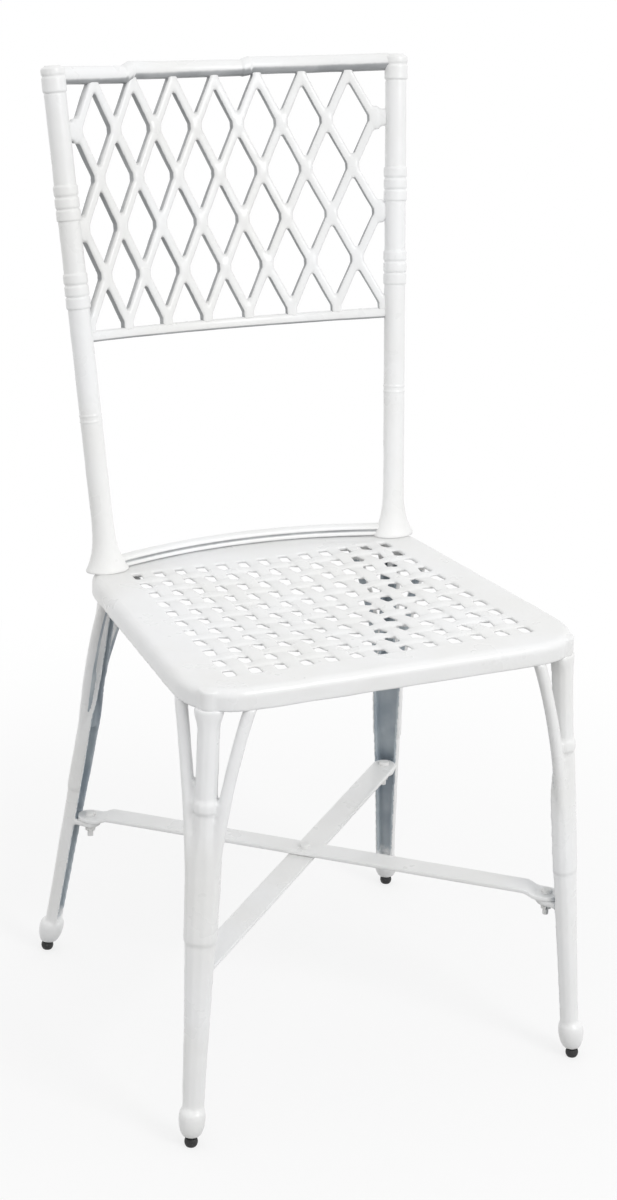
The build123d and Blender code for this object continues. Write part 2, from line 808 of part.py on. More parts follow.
def make_washers(name, places, diameter):
    """Washers whose upper faces are at the places."""
    with BuildPart() as washers:
        with Locations(*places):
            Cylinder(diameter / 2, washer_thickness, align=(Align.CENTER, Align.CENTER, Align.MAX))
            Cylinder(
                bolt_diameter / 2 + bolt_hole_play,
                washer_thickness,
                align=(Align.CENTER, Align.CENTER, Align.MAX),
                mode=Mode.SUBTRACT,
            )
    save(washers, name)


def make_nuts(name, places):
    """Hexagon nuts whose upper faces are at the places."""
    with BuildPart() as nuts:
        with BuildSketch() as hexagon:
            RegularPolygon(nut_across_flats / 2, 6, major_radius=False)
            Circle(bolt_diameter / 2 + thread_play, mode=Mode.SUBTRACT)
        with Locations(*places):
            add(extrude(hexagon.sketch, amount=-nut_height, mode=Mode.PRIVATE))
    save(nuts, name)


def make_cap_screws(name, lines, length):
    """Socket-head screws that point up, with their heads under the legs' flanges."""
    under_head = leg_top - stalk_flange - washer_thickness
    places = upright_places([line.screw_centre() for line in lines], under_head)
    with BuildPart() as screws:
        with Locations(*places):
            Cylinder(
                cap_screw_head / 2,
                cap_screw_head_height,
                align=(Align.CENTER, Align.CENTER, Align.MAX),
            )
            Cylinder(bolt_diameter / 2, length, align=(Align.CENTER, Align.CENTER, Align.MIN))
    save(screws, name)


lug_points = list(lug_centres.values())
lug_under = lug_height - lug_thickness
make_bolts(
    "stretcher_end_bolts",
    upright_places(lug_points, lug_height + bar_thickness),
    bar_thickness + lug_thickness + washer_thickness + nut_height + bolt_end,
)
make_washers("stretcher_end_washers", upright_places(lug_points, lug_under), washer_diameter)
make_nuts("stretcher_end_nuts", upright_places(lug_points, lug_under - washer_thickness))
make_bolts(
    "stretcher_centre_bolt",
    upright_places([cross_centre], lug_height + 2 * bar_thickness),
    2 * bar_thickness + washer_thickness + nut_height + bolt_end,
)
make_washers("stretcher_centre_washer", upright_places([cross_centre], lug_height), washer_diameter)
make_nuts("stretcher_centre_nut", upright_places([cross_centre], lug_height - washer_thickness))

screw_grip = stalk_flange + washer_thickness
make_cap_screws("front_leg_screws", front_legs, screw_grip + front_screw_depth)
make_cap_screws("rear_leg_screws", rear_legs, screw_grip + seat_apron + rear_screw_depth)
make_washers(
    "leg_screw_washers",
    upright_places([line.screw_centre() for line in legs], leg_top - stalk_flange),
    cap_screw_washer,
)

with BuildPart() as base_rail_screws:
    with Locations(*[(x, y, seat_height - seat_plate) for x, y in rail_screw_places]):
        Cylinder(
            rail_screw_head / 2,
            rail_screw_head_height,
            align=(Align.CENTER, Align.CENTER, Align.MAX),
        )
        Cylinder(
            rail_screw_diameter / 2,
            seat_plate + rail_screw_depth,
            align=(Align.CENTER, Align.CENTER, Align.MIN),
        )
save(base_rail_screws, "base_rail_screws")


# Levelling glides: a stud that screws into the foot and a domed pad on its end
def make_glide(line):
    socket_floor = glide_pad_height - glide_socket_depth
    stud_length = glide_socket_depth + foot_clearance - glide_pad_height + glide_stud_engagement
    with BuildPart() as stud:
        with Locations((line.foot.X, line.foot.Y, socket_floor)):
            Cylinder(
                glide_stud_diameter / 2,
                stud_length,
                align=(Align.CENTER, Align.CENTER, Align.MIN),
            )
    save(stud, f"glide_stud_{line.name}")
    with BuildPart() as pad:
        profile_plane = Plane(origin=(line.foot.X, line.foot.Y, 0), x_dir=(1, 0, 0), z_dir=(0, -1, 0))
        with BuildSketch(profile_plane) as profile:
            with BuildLine():
                Polyline(
                    (glide_pad_top_radius, glide_pad_height),
                    (0, glide_pad_height),
                    (0, 0),
                    (glide_pad_base_radius, 0),
                )
                ThreePointArc(
                    (glide_pad_base_radius, 0),
                    (glide_pad_radius, glide_pad_height / 2),
                    (glide_pad_top_radius, glide_pad_height),
                )
            make_face()
        revolve(profiles=profile.sketch, axis=Axis((line.foot.X, line.foot.Y, 0), (0, 0, 1)))
        with Locations((line.foot.X, line.foot.Y, glide_pad_height)):
            Cylinder(
                glide_stud_diameter / 2,
                glide_socket_depth,
                align=(Align.CENTER, Align.CENTER, Align.MAX),
                mode=Mode.SUBTRACT,
            )
    save(pad, f"glide_pad_{line.name}")


for leg_line in legs:
    make_glide(leg_line)
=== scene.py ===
from math import asin, atan2, copysign, cos, hypot, pi, radians, sin, sqrt

import bmesh
import bpy
import numpy as np
from mathutils import Matrix, Vector, noise


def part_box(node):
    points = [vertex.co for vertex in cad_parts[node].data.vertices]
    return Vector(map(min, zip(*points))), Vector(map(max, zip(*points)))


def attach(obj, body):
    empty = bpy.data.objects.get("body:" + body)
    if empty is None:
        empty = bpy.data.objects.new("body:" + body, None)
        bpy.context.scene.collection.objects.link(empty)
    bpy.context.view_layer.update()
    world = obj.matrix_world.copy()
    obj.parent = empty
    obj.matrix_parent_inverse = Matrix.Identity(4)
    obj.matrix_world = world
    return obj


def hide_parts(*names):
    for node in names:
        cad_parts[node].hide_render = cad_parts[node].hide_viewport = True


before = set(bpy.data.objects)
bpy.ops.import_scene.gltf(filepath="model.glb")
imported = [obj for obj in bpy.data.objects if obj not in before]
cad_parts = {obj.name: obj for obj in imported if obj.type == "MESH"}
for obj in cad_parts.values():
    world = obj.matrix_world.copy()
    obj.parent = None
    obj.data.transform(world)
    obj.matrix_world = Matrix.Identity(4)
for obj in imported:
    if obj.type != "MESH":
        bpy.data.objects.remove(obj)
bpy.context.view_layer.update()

# White cast-aluminium garden chair. Every size here is in millimetres, in the frame of the CAD model,
# and Solid.build turns the points into metres.

METRE = 0.001

# Seat
seat_height = 454.0
seat_front_width = 420.0
seat_rear_width = 366.0
seat_side_depth = 340.0
seat_rear_bow = 36.0
seat_front_corner = 50.0
seat_rear_corner = 22.0
seat_apron = 22.0
seat_plate = 4.0
seat_wall = 6.0
seat_edge_round = 8.0
dish_depth = 7.0
dish_border = 42.0
dish_soft_edge = 18.0  # how far the dish's slope runs out into the border
hole_width = 9.8
hole_length = 15.0
hole_columns = 13
hole_rows = 11
hole_side_margin = 47.5
hole_front_margin = 44.0
hole_rear_margin = 67.0
weave_thickness = 3.2
weave_lift = 1.5  # how far a strip rises over its neighbour, or dips under it
weave_sink = 0.4  # how far the weave lies under the seat's upper side
strip_lap = 0.45  # how far a strip runs on into the border, in holes
strip_fade = 0.6  # over how many holes a strip's waves begin
strip_ease = 0.4  # how far a strip from front to rear is wider than its gap, on each side
strip_squareness = 3.2
rim_lap = 6.0  # how far the rim's flat runs on into the border
rim_clearance = 0.2  # over the tops of the legs
boss_radius = 11.0
boss_bore = 3.4
boss_inset = 2.7  # from the top of a leg's line towards the chair's middle
boss_clearance = 0.3
boss_drop = 2.0  # from the seat's height to the top of a boss

# Legs
front_leg_inset_side = 23.0
front_leg_inset_front = 19.0
front_foot_out = 24.0
front_foot_forward = 36.0
rear_foot_out = 45.0
rear_foot_back = 58.0
rear_leg_turn = 11.0  # degrees by which a rear channel turns from its slant towards the chair's side
leg_flare = 1.1
leg_foot_width = 20.5
leg_shoulder_width = 36.0
leg_taper = 1.3
leg_foot_depth = 15.0
leg_depth = 18.0
leg_wall = 4.0
channel_roundness = 0.85
leg_shoulder_height = 312.0
stalk_width = 20.0
stalk_flare = 7.0
stalk_flange = 8.0
shoulder_below = 34.0  # where the channel starts to narrow, under the shoulder
shoulder_above = 10.0
low_node = 205.0
low_node_swell = 1.2
low_node_fade = 70.0
high_node = 340.0
high_node_length = 14.0
high_node_swell = 1.8
arm_start = 280.0
arm_diameter = 12.0
arm_upright = 0.5
arm_spread = 35.0
arm_edge_inset = 6.0
arm_squareness = 2.3
arm_run_in = 0.1  # how far an arm's arc runs on into the leg, in halves of the arc
arm_run_out = 0.12  # and past its tip
bare_least = 0.45  # how bare a channel's inside is at the foot
bare_fade = 45.0  # height in which it gets fully bare
foot_radius = 13.5
foot_top_radius = 11.0
foot_bottom_radius = 8.6
foot_height = 36.0  # the visible collar ends lower than the CAD foot's
foot_ring = 4.0
foot_clearance = 11.0
foot_bore = 3.9
foot_bore_depth = 24.0
lug_height = 170.0
lug_thickness = 6.0
lug_radius = 11.0
lug_reach = 15.0
lug_root = 1.0  # where a lug ends in its channel, outward from the leg's middle

# Back
post_inset_side = 20.0
post_inset_rear = 6.0
post_spread = 25.0
back_rise = 492.0
back_lean = 93.0
back_radius = 410.0
post_radius = 10.0
post_swell = 1.0  # by how much the visible pole's radius exceeds the CAD one's
post_step = 0.9  # between the rings of a pole
post_foot_length = 48.0
post_foot_width = 28.0
post_foot_height = 50.0
post_foot_curve = 0.88  # 0 for a straight flare, 1 for a cubic one
post_foot_pinch = 0.06  # share by which the foot's lower edge is rounded in
post_cap_radius = 12.0
post_cap_height = 27.0
cap_groove_share = 0.62
cap_groove_depth = 0.9
cap_groove_half = 2.2
cap_round = 4.5
binding_radius = 12.2
binding_turn = 12.0
binding_turns = 3
binding_shares = (0.113, 0.449)
post_node_share = 0.66
post_node_length = 12.0
post_node_radius = 11.5
# Half the height of each length of the top rail and its rise over the CAD rail, at its start and its end
top_rail_segments = (
    ((8.8, -1.2), (8.8, -1.2)),
    ((9.0, 2.8), (8.4, 2.2)),
    ((9.0, 4.2), (8.8, 1.0)),
)
top_rail_half_depth = 8.2
top_rail_drop = 8.5
top_rail_end = 6.0  # how far the rail's ends lie inside the posts' middle lines
top_rail_nodes = (-98.0, 36.0)
top_rail_node_length = 12.0
top_rail_node_swell = 0.9
lower_rail_share = 0.4714
lower_rail_tall = 11.0
lower_rail_deep = 10.0
lower_rail_end = 7.0
base_rail_tall = 12.0
base_rail_deep = 14.0
base_rail_inset = 13.0
base_rail_end = 8.0
lattice_columns = 7
lattice_half_rows = 5
lattice_side_bay = 0.22
lattice_first_row = 10.0
lattice_last_row = 7.0
lattice_strip = 9.6
lattice_depth = 10.0
lattice_squareness = 4.5
lattice_top_widening = 1.1  # of the short strips that end at the top rail
lattice_foot_widening = 1.25  # and at the lower rail
lattice_pad_width = 14.5
lattice_pad_height = 24.0
lattice_pad_depth = 11.5
lattice_pad_arc = 1.25  # half the angle that a pad's outline spans
lattice_pad_roundness = 0.45
lattice_pad_squareness = 3.6

# Stretchers
bar_width = 26.0
bar_thickness = 5.0
bar_end_flat = 9.0
bar_ramp = 14.0
bar_squareness = 7.0
bar_play = 0.05

# Values that follow from the sizes above
leg_top = seat_height - seat_apron
seat_depth = seat_side_depth + seat_rear_bow
seat_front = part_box("seat_casting")[0].y / METRE
seat_rear_radius = ((seat_rear_width / 2) ** 2 + seat_rear_bow**2) / (2 * seat_rear_bow)
post_depth = seat_side_depth - post_inset_rear
post_base_half = seat_rear_width / 2 - post_inset_side
lean = atan2(back_lean, back_rise)
post_length = hypot(back_lean, back_rise)
top_rail_height = post_length - top_rail_drop
lower_rail_height = post_length * lower_rail_share
right = Vector((1, 0, 0))
rearward = Vector((0, 1, 0))
upright = Vector((0, 0, 1))
up = Vector((0, sin(lean), cos(lean)))
aft = Vector((0, cos(lean), -sin(lean)))
back_foot = Vector((0, seat_front + post_depth, seat_height))


def smooth(share):
    """Eases a share from 0 to 1."""
    share = min(max(share, 0.0), 1.0)
    return share * share * (3 - 2 * share)


def mix(a, b, share):
    return a + (b - a) * share


def mixed(start, end, share):
    return mix(start[0], end[0], share), mix(start[1], end[1], share)


def spread(low, high, count):
    return [mix(low, high, i / (count - 1)) for i in range(count)]


def post_half(height):
    return post_base_half + post_spread * height / post_length


def bow(half_chord):
    return back_radius - sqrt(back_radius**2 - half_chord**2)


panel_rise = top_rail_height - lower_rail_height
panel_tilt = asin((bow(post_half(top_rail_height)) - bow(post_half(lower_rail_height))) / panel_rise)
panel_up = up * cos(panel_tilt) + aft * sin(panel_tilt)
panel_aft = aft * cos(panel_tilt) - up * sin(panel_tilt)


def seat_half(depth):
    return mix(seat_front_width, seat_rear_width, depth / seat_side_depth) / 2


def rear_edge(across):
    return seat_depth - seat_rear_radius + sqrt(seat_rear_radius**2 - across**2)


# Building blocks
def add_object(name, data):
    made = bpy.data.objects.new(name, data)
    bpy.context.scene.collection.objects.link(made)
    return made


class Solid:
    """Closed shells gathered for one casting."""

    def __init__(self):
        self.points = []
        self.faces = []

    def loft(self, rings, closed=False):
        """Skins a run of rings; an open run is capped at both ends."""
        base = len(self.points)
        count = len(rings[0])
        for ring in rings:
            self.points.extend(ring)
        spans = len(rings) if closed else len(rings) - 1
        for span in range(spans):
            low = base + span * count
            high = base + (span + 1) % len(rings) * count
            for i in range(count):
                j = (i + 1) % count
                self.faces.append((low + i, low + j, high + j, high + i))
        if not closed:
            last = base + (len(rings) - 1) * count
            self.faces.append(tuple(range(base, base + count)))
            self.faces.append(tuple(range(last, last + count)))

    def slab(self, top, drop):
        """A plate under rows of points."""
        self.loft([row + [point - upright * drop for point in reversed(row)] for row in top])

    def turned(self, profile, origin, axis, sides=32):
        """A closed profile of (radius, height) turned about an axis."""
        across = axis.orthogonal().normalized()
        beside = axis.cross(across)
        rings = []
        for i in range(sides):
            angle = 2 * pi * i / sides
            outward = across * cos(angle) + beside * sin(angle)
            rings.append([origin + outward * radius + axis * height for radius, height in profile])
        self.loft(rings, closed=True)

    def build(self, name):
        mesh = bpy.data.meshes.new(name)
        mesh.from_pydata([point * METRE for point in self.points], [], self.faces)
        shell = bmesh.new()
        shell.from_mesh(mesh)
        bmesh.ops.recalc_face_normals(shell, faces=shell.faces)
        shell.to_mesh(mesh)
        shell.free()
        mesh.shade_smooth()
        return add_object(name, mesh)


def oval(centre, across, beyond, half_across, half_beyond, power=2.0, sides=16):
    """A ring of points; powers above 2 square the oval up."""
    ring = []
    for i in range(sides):
        angle = 2 * pi * (i + 0.5) / sides
        x = copysign(abs(cos(angle)) ** (2 / power), cos(angle))
        y = copysign(abs(sin(angle)) ** (2 / power), sin(angle))
        ring.append(centre + across * (half_across * x) + beyond * (half_beyond * y))
    return ring


def bake_modifiers(piece):
    """Puts the result of a piece's modifiers into its mesh."""
    graph = bpy.context.evaluated_depsgraph_get()
    mesh = bpy.data.meshes.new_from_object(piece.evaluated_get(graph))
    piece.modifiers.clear()
    rough = piece.data
    piece.data = mesh
    bpy.data.meshes.remove(rough)
    mesh.shade_smooth()


def fuse(piece, voxel, passes):
    """Runs a casting's shells together and rounds off where they meet."""
    remesh = piece.modifiers.new("fuse", "REMESH")
    remesh.mode = "VOXEL"
    remesh.voxel_size = voxel * METRE
    soften = piece.modifiers.new("soften", "SMOOTH")
    soften.factor = 0.5
    soften.iterations = passes
    bake_modifiers(piece)


def roughen(piece, size, height):
    """Gives a casting the slight unevenness of a sand mould."""
    vertices = piece.data.vertices
    places = np.zeros(len(vertices) * 3, np.float32)
    normals = np.zeros(len(vertices) * 3, np.float32)
    vertices.foreach_get("co", places)
    vertices.foreach_get("normal", normals)
    places = places.reshape(-1, 3)
    normals = normals.reshape(-1, 3)
    ripples = np.array([noise.noise(Vector(place) / (size * METRE)) for place in places])
    places += normals * (ripples * height * METRE)[:, None]
    vertices.foreach_set("co", places.ravel())
    piece.data.update()


def skinned(name, rings, size, height):
    """A piece through rings of points, with a casting's unevenness."""
    casting = Solid()
    casting.loft(rings)
    piece = casting.build(name)
    roughen(piece, size, height)
    return piece


def settle(piece, material, *nodes, body="chair_frame", slot="white_paint"):
    """Gives a finished piece its material and its body, and hides the CAD nodes that it stands for."""
    piece.data.materials.clear()
    piece.data.materials.append(material)
    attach(piece, body)
    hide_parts(*nodes)


# Materials
class Nodes:
    """A node tree with a few shorthands."""

    def __init__(self, tree):
        self.tree = tree

    def feed(self, socket, value):
        """Gives a socket a constant, or a link from another socket."""
        if isinstance(value, bpy.types.NodeSocket):
            self.tree.links.new(value, socket)
        else:
            socket.default_value = value

    def node(self, kind, inputs=None, **settings):
        made = self.tree.nodes.new(kind)
        for key, value in settings.items():
            setattr(made, key, value)
        for key, value in (inputs or {}).items():
            self.feed(made.inputs[key], value)
        return made

    def ramp(self, value, low, high, start=0.0, end=1.0):
        inputs = {"Value": value, "From Min": low, "From Max": high, "To Min": start, "To Max": end}
        return self.node("ShaderNodeMapRange", inputs, interpolation_type="SMOOTHSTEP").outputs["Result"]

    def maths(self, operation, first, second):
        return self.node("ShaderNodeMath", {0: first, 1: second}, operation=operation).outputs[0]

    def blend(self, share, first, second):
        """Mixes two colours, each a tuple or a socket."""
        made = self.node("ShaderNodeMix", {0: share}, data_type="RGBA")
        colours = [socket for socket in made.inputs if socket.type == "RGBA"]
        self.feed(colours[0], first)
        self.feed(colours[1], second)
        return [socket for socket in made.outputs if socket.type == "RGBA"][0]

    def seen(self):
        """1 where a ray comes straight from the camera, a reflection or a clear material."""
        rays = self.node("ShaderNodeLightPath").outputs
        mirrored = self.maths("MAXIMUM", rays["Is Glossy Ray"], rays["Is Transmission Ray"])
        return self.maths("MAXIMUM", rays["Is Camera Ray"], mirrored)


class Shader(Nodes):
    """A material, with noise on the object's own coordinates."""

    def __init__(self, name):
        self.material = bpy.data.materials.new(name)
        self.material.use_nodes = True
        super().__init__(self.material.node_tree)
        self.place = self.node("ShaderNodeTexCoord").outputs["Object"]

    def noise(self, scale, detail=3.0):
        inputs = {"Vector": self.place, "Scale": scale, "Detail": detail}
        return self.node("ShaderNodeTexNoise", inputs).outputs["Fac"]

    def bump(self, height, strength, distance):
        inputs = {"Height": height, "Strength": strength, "Distance": distance}
        return self.node("ShaderNodeBump", inputs)

    def pointiness(self, low, high):
        """1 on the mesh's ridges or in its hollows, by the order of the two limits."""
        return self.ramp(self.node("ShaderNodeNewGeometry").outputs["Pointiness"], low, high)

    def dress(self, colour, gloss, bump, **others):
        """Gives the surface its colour, roughness and bumps, and other inputs by their names."""
        inputs = {"Base Color": colour, "Roughness": gloss, "Normal": bump.outputs["Normal"]}
        inputs.update((name.replace("_", " "), value) for name, value in others.items())
        for name, value in inputs.items():
            self.feed(self.tree.nodes["Principled BSDF"].inputs[name], value)
        return self.material


# Colours
white_shades = ((0.80, 0.80, 0.79, 1), (0.84, 0.845, 0.85, 1))
grime_shade = (0.50, 0.49, 0.46, 1)
leg_metal = ((0.34, 0.39, 0.44, 1), (0.50, 0.55, 0.58, 1))
# Painted shade: the grey that darkens the back's rails and lattice on their undersides and turned-away
# sides
painted_shade_greys = ((0.30, 0.31, 0.32, 1), (0.40, 0.41, 0.42, 1))
zinc_shades = ((0.46, 0.47, 0.48, 1), (0.66, 0.66, 0.65, 1))
nylon_shades = ((0.012, 0.012, 0.013, 1), (0.05, 0.05, 0.05, 1))
chipped_shades = ((0.76, 0.76, 0.75, 1), (0.40, 0.40, 0.40, 1))
floor_shades = ((0.25, 0.25, 0.25, 1), (0.85, 0.85, 0.85, 1))  # in other surfaces' light, and as seen


def make_paint(name, bare_metal_and_shade=None, bare_and_shade_edge=(0.55, 0.75)):
    """White gloss paint over cast aluminium, which turns to the darker colours given where a piece's points
    say so: unpainted aluminium inside the legs, and painted shade on the back's rails and lattice.
    """
    paint = Shader(name)
    cloud = paint.ramp(paint.noise(9.0), 0.3, 0.7)
    colour = paint.blend(cloud, *white_shades)
    dents = paint.pointiness(0.47, 0.40)
    grime = paint.maths("MULTIPLY", dents, paint.ramp(paint.noise(40.0), 0.35, 0.65))
    grime = paint.maths("MULTIPLY", grime, 0.25)
    colour = paint.blend(grime, colour, grime_shade)
    gloss = paint.ramp(paint.noise(28.0), 0.3, 0.7, 0.26, 0.40)
    # The dark colours: unpainted aluminium for the legs, painted shade for the back's rails and lattice.
    if bare_metal_and_shade:
        bare_and_shade = paint.node("ShaderNodeAttribute", attribute_name="bare_and_shade").outputs["Fac"]
        ragged = paint.maths("ADD", bare_and_shade, paint.maths("MULTIPLY", paint.noise(160.0), 0.3))
        share = paint.ramp(ragged, *bare_and_shade_edge)
        metal_and_shade = paint.blend(paint.ramp(paint.noise(22.0), 0.35, 0.7), *bare_metal_and_shade)
        colour = paint.blend(share, colour, metal_and_shade)
        gloss = paint.maths("ADD", gloss, paint.maths("MULTIPLY", share, 0.2))
    casting = paint.bump(paint.noise(70.0, 2.0), 0.35, 0.0012)
    skin = paint.bump(paint.noise(520.0, 2.0), 0.12, 0.0003)
    paint.feed(skin.inputs["Normal"], casting.outputs["Normal"])
    return paint.dress(colour, gloss, skin, Coat_Weight=0.25, Coat_Roughness=0.15)


def mark_bare_and_shade(piece, share_at):
    """Stores on each point of a piece how far it turns dark: where its paint is missing on the legs, and
    painted shade on the back's rails and lattice.
    """
    bare_and_shade = piece.data.attributes.new("bare_and_shade", "FLOAT", "POINT")
    shares = [share_at(vertex.co / METRE, vertex.normal) for vertex in piece.data.vertices]
    bare_and_shade.data.foreach_set("value", shares)


def facing(direction, low, high):
    """A share of painted shade for a piece's points, grey on the sides that face a direction."""
    aim = Vector(direction).normalized()
    return lambda point, normal: smooth((normal.dot(aim) - low) / (high - low))


def make_zinc():
    """Dull zinc plating with white bloom."""
    zinc = Shader("zinc_plate")
    bloom = zinc.ramp(zinc.noise(220.0), 0.4, 0.7)
    colour = zinc.blend(bloom, *zinc_shades)
    gloss = zinc.ramp(zinc.noise(400.0), 0.3, 0.7, 0.32, 0.55)
    return zinc.dress(colour, gloss, zinc.bump(zinc.noise(900.0), 0.2, 0.0002), Metallic=0.85)


def make_nylon():
    """Black nylon, scuffed by the floor."""
    nylon = Shader("black_nylon")
    scuff = nylon.ramp(nylon.noise(300.0), 0.5, 0.75)
    colour = nylon.blend(scuff, *nylon_shades)
    gloss = nylon.ramp(nylon.noise(500.0), 0.3, 0.7, 0.45, 0.65)
    return nylon.dress(colour, gloss, nylon.bump(nylon.noise(800.0), 0.25, 0.0003))


def make_chipped_paint():
    """White paint over zinc-plated fasteners, worn through at the edges."""
    chipped = Shader("chipped_paint")
    ridges = chipped.pointiness(0.53, 0.60)
    worn = chipped.maths("MULTIPLY", ridges, chipped.ramp(chipped.noise(300.0), 0.45, 0.6))
    colour = chipped.blend(worn, *chipped_shades)
    gloss = chipped.ramp(chipped.noise(260.0), 0.3, 0.7, 0.3, 0.5)
    return chipped.dress(colour, gloss, chipped.bump(chipped.noise(420.0), 0.3, 0.0003), Metallic=worn)


white_paint = make_paint("white_paint")
leg_paint = make_paint("leg_paint", leg_metal)
# Painted shade: the back's rails and lattice turn grey on their undersides, on the sides that face left and
# down, in the base rail's grooves and along its joint with the seat.
white_with_painted_shade = make_paint("white_with_painted_shade", painted_shade_greys, (0.25, 1.15))
zinc_plate = make_zinc()
black_nylon = make_nylon()
chipped_paint = make_chipped_paint()


# Seat: a rolled rim, a plain border and an open basket weave
def corner_round(corner, coming, leaving, trim, steps):
    """Points on the arc that rounds a corner off between two directions."""
    weight = cos(coming.angle(leaving) / 2)
    before = corner - coming * trim
    after = corner + leaving * trim
    points = []
    for share in spread(0, 1, steps):
        a = (1 - share) ** 2
        b = 2 * weight * share * (1 - share)
        c = share**2
        points.append((before * a + corner * b + after * c) / (a + b + c))
    return points


def seat_outline():
    """The seat's edge seen from above, evenly stepped, anticlockwise from the front."""
    rear_corner = Vector((seat_rear_width / 2, seat_front + seat_side_depth, 0))
    front_corner = Vector((seat_front_width / 2, seat_front, 0))
    along_side = (rear_corner - front_corner).normalized()
    arc_angle = asin(seat_rear_width / 2 / seat_rear_radius)
    along_rear = Vector((-cos(arc_angle), sin(arc_angle), 0))
    front_trim = seat_front_corner * sqrt((1 - along_side.x) / (1 + along_side.x))
    rear_turn = along_side.angle(along_rear)
    rear_trim = seat_rear_corner * sin(rear_turn / 2) / cos(rear_turn / 2)
    half = [Vector((0, seat_front, 0))]
    half += corner_round(front_corner, right, along_side, front_trim, 16)
    half += corner_round(rear_corner, along_side, along_rear, rear_trim, 10)
    start = asin(half[-1].x / seat_rear_radius)
    for angle in spread(start, 0, 16)[1:]:
        across = seat_rear_radius * sin(angle)
        half.append(Vector((across, seat_front + rear_edge(across), 0)))
    rough = half + [Vector((-point.x, point.y, 0)) for point in reversed(half[1:-1])]
    rough.append(rough[0])
    lengths = [0.0]
    for point, following in zip(rough, rough[1:]):
        lengths.append(lengths[-1] + (following - point).length)
    count = 240
    stations = [lengths[-1] * i / count for i in range(count)]
    xs = np.interp(stations, lengths, [point.x for point in rough])
    ys = np.interp(stations, lengths, [point.y for point in rough])
    points = [Vector((x, y, 0)) for x, y in zip(xs, ys)]
    for _ in range(8):
        softened = []
        for i, point in enumerate(points):
            beside = points[i - 1] + points[(i + 1) % count]
            softened.append(point * 0.5 + beside * 0.25)
        points = softened
    return points


def inward(points):
    """Unit normals of an anticlockwise outline, towards its middle."""
    normals = []
    for i in range(len(points)):
        along = points[(i + 1) % len(points)] - points[i - 1]
        normals.append(Vector((-along.y, along.x, 0)).normalized())
    return normals


seat_middle = Vector((0, seat_front + seat_depth / 2, 0))
dish_radius = seat_half(seat_depth / 2) - dish_border + dish_soft_edge


def dish(x, y):
    """Height of the seat's upper side."""
    reach = hypot(x - seat_middle.x, y - seat_middle.y) / dish_radius
    return seat_height - dish_depth * (1 - smooth(reach))


hole_pitch_across = 2 * (seat_half(seat_depth / 2) - hole_side_margin) / (hole_columns - 1)
hole_pitch_along = (seat_depth - hole_front_margin - hole_rear_margin) / (hole_rows - 1)

# The weave's outer edge, in columns from the middle and rows from the front
column_end = (hole_columns - 1) / 2 + hole_width / 2 / hole_pitch_across
row_start = -hole_length / 2 / hole_pitch_along
row_end = hole_rows - 1 - row_start


def weave_point(column, row, lift=0.0):
    """A point of the fanned hole grid: columns count from the middle, rows from the front."""
    depth = hole_front_margin + row * hole_pitch_along
    x = column * hole_pitch_across * seat_half(depth) / seat_half(seat_depth / 2)
    y = seat_front + depth
    return Vector((x, y, dish(x, y) + lift))


def ray_to(points, target):
    """Where the ray from the seat's middle through a point meets an outline."""
    aim = target - seat_middle
    best = None
    for i, a in enumerate(points):
        b = points[(i + 1) % len(points)]
        edge = b - a
        cross = aim.x * edge.y - aim.y * edge.x
        if abs(cross) < 1e-9:
            continue
        gap = a - seat_middle
        along = (gap.x * edge.y - gap.y * edge.x) / cross
        share = (gap.x * aim.y - gap.y * aim.x) / cross
        if along > 0 and -1e-6 <= share <= 1 + 1e-6:
            best = along
    return seat_middle + aim * best


def add_rim(seat, edge, normals):
    """The apron and the rolled edge, with a small fillet under the plate."""
    low = leg_top + rim_clearance
    under = seat_height - seat_plate
    profile = [(0.6, low), (0.0, low + 1.5), (0.0, seat_height - seat_edge_round)]
    for angle in spread(0.15, pi / 2, 6):
        inset = seat_edge_round * (1 - cos(angle))
        profile.append((inset, seat_height - seat_edge_round * (1 - sin(angle))))
    profile += [
        (seat_edge_round + rim_lap, seat_height),
        (seat_edge_round + rim_lap, under),
        (seat_wall + 1.5, under - 1.5),
        (seat_wall, under - 4),
        (seat_wall, low),
    ]
    rings = []
    for point, normal in zip(edge, normals):
        rings.append([point + normal * inset + upright * height for inset, height in profile])
    seat.loft(rings, closed=True)


def add_border(seat, rim):
    """Plates between the rim and the weave, one for each side."""
    front = [(-column_end, row_start), (column_end, row_start)]
    corners = front + [(column_end, row_end), (-column_end, row_end)]
    for i, corner in enumerate(corners):
        grid = []
        for share in spread(0, 1, 30):
            inner = weave_point(*mixed(corner, corners[(i + 1) % 4], share))
            inner.z = 0
            outer = ray_to(rim, inner)
            line = []
            for step in spread(0, 1, 9):
                point = inner.lerp(outer, step)
                line.append(Vector((point.x, point.y, dish(point.x, point.y))))
            grid.append(line)
        seat.slab(grid, seat_plate)


def strip_lift(place, last, first_over):
    """Height of a strip's middle: over and under in turn, level at both ends."""
    fade = smooth((place + 0.1) / strip_fade) * smooth((last - place + 0.1) / strip_fade)
    wave = weave_lift * fade * first_over * cos(pi * (place - 0.5))
    return wave - weave_thickness / 2 - weave_sink


